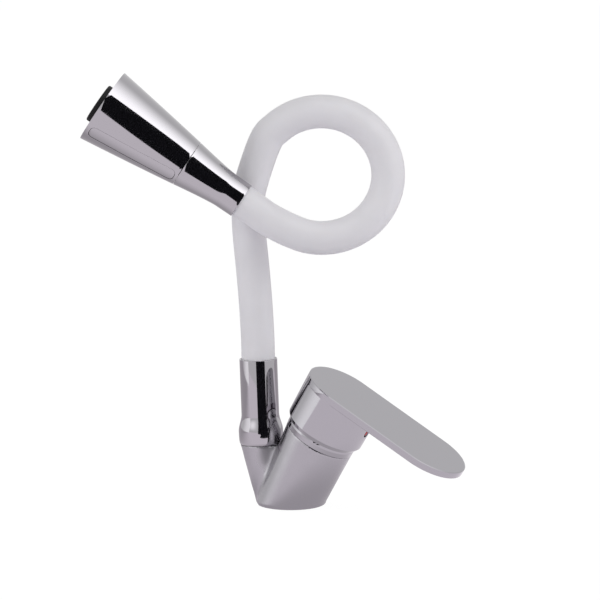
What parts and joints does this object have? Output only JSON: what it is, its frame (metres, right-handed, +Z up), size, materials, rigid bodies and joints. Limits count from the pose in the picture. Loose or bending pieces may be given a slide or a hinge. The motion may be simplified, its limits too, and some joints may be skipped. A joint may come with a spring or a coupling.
{
  "type": "flexible kitchen faucet",
  "caption": "Single-lever kitchen faucet with a slanted cartridge barrel, a posable looped hose spout and a conical two-way spray head.",
  "frame": {"origin": "centre of the round base, on the deck plane", "axes": "+Z up from the deck, +X from the spout towards the tip of the lever, which points along +X when it is centred and closed"},
  "size_m": [0.236, 0.1069, 0.2687],
  "materials": {
    "chrome_body": "polished chrome plate on a zinc casting",
    "chrome_trim": "polished chrome plate on turned brass",
    "chrome_lever": "polished chrome plate on a zinc lever",
    "chrome_head": "mirror chrome plate on a moulded shell",
    "white_silicone": "matte milky silicone",
    "black_rubber": "matte moulded rubber",
    "brass": "machined",
    "steel": "drawn stainless",
    "alumina": "lapped",
    "grey_plastic": "moulded",
    "white_plastic": "moulded",
    "black_plastic": "moulded, fine satin",
    "red_plastic": "moulded",
    "blue_plastic": "moulded"
  },
  "bodies": {
    "base": {"body_casting": "chrome_body", "deck_gasket": "black_rubber", "swivel_spigot": "brass", "swivel_o_ring_lower": "black_rubber", "swivel_o_ring_upper": "black_rubber", "swivel_clip": "steel", "cartridge_base": "grey_plastic", "port_seal_hot": "black_rubber", "port_seal_cold": "black_rubber", "port_seal_outlet": "black_rubber", "fixed_disc": "alumina", "cartridge_housing": "grey_plastic", "cartridge_nut": "brass", "dome_ring": "chrome_trim"},
    "rotor": {"cartridge_rotor": "white_plastic", "stem_pin": "steel"},
    "carrier": {"disc_carrier": "grey_plastic", "moving_disc": "alumina"},
    "lever": {"lever_handle": "chrome_lever", "cartridge_stem": "brass", "lever_grub_screw": "steel", "indicator_plug": "black_plastic", "indicator_red": "red_plastic", "indicator_blue": "blue_plastic"},
    "spout": {"spout_collar": "chrome_trim", "hose_ferrule_lower": "brass", "hose_sleeve_lower": "white_silicone"},
    "hose": {"hose_sleeve_upper": "white_silicone", "gooseneck_core": "steel", "water_tube": "white_plastic", "hose_ferrule_upper": "brass", "head_o_ring": "black_rubber"},
    "head": {"hose_end_collar": "chrome_head", "head_shell": "chrome_head", "front_bezel": "chrome_head", "head_waterway": "white_plastic", "head_snap_ring": "steel", "filter_screen": "steel", "mode_lever_pin": "steel", "diverter_spring": "steel", "spray_face": "black_plastic", "aerator_housing": "grey_plastic", "aerator_mesh": "steel"},
    "mode": {"mode_lever": "chrome_head"},
    "diverter": {"diverter_plunger": "grey_plastic"}
  },
  "joints": [
    {"name": "lever_turn", "type": "hinge", "parent": "base", "child": "rotor", "pos_m": [0.02005, 0, 0.04373], "axis": [0.5, 0, 0.866], "range_deg": [-45, 45]},
    {"name": "lever_lift", "type": "hinge", "parent": "rotor", "child": "lever", "pos_m": [0.02005, 0, 0.04373], "axis": [0, -1, 0], "range_deg": [0, 22]},
    {"name": "disc_slide", "type": "slide", "parent": "rotor", "child": "carrier", "axis": [0.866, 0, -0.5], "range_m": [0, 0.0032]},
    {"name": "spout_swivel", "type": "hinge", "parent": "base", "child": "spout", "pos_m": [-0.0201, 0, 0.0366], "axis": [-0.0394, 0, 0.9992], "continuous": true},
    {"name": "hose_lean", "type": "hinge", "parent": "spout", "child": "hose", "pos_m": [-0.02354, 0, 0.12383], "axis": [-0.4226, 0.9063, 0], "range_deg": [-25, 25], "deforming": ["hose_sleeve_lower", "gooseneck_core", "water_tube"]},
    {"name": "head_swivel", "type": "hinge", "parent": "hose", "child": "head", "pos_m": [-0.02462, -0.01873, 0.19117], "axis": [-0.789, -0.2603, 0.5565], "continuous": true},
    {"name": "mode_rock", "type": "hinge", "parent": "head", "child": "mode", "pos_m": [-0.08211, -0.05102, 0.22375], "axis": [0.6124, -0.4055, 0.6786], "range_deg": [0, 3], "stiffness_Nm_per_rad": 0.05, "springref_deg": -5.73},
    {"name": "diverter_slide", "type": "slide", "parent": "head", "child": "diverter", "axis": [0.0491, 0.8763, 0.4793], "range_m": [0, 0.0013], "deforming": ["diverter_spring"]}
  ],
  "couplings": [
    {"joint": "disc_slide", "follows": "lever_lift", "m_per_rad": 0.0079},
    {"joint": "diverter_slide", "follows": "mode_rock", "m_per_rad": 0.022}
  ]
}
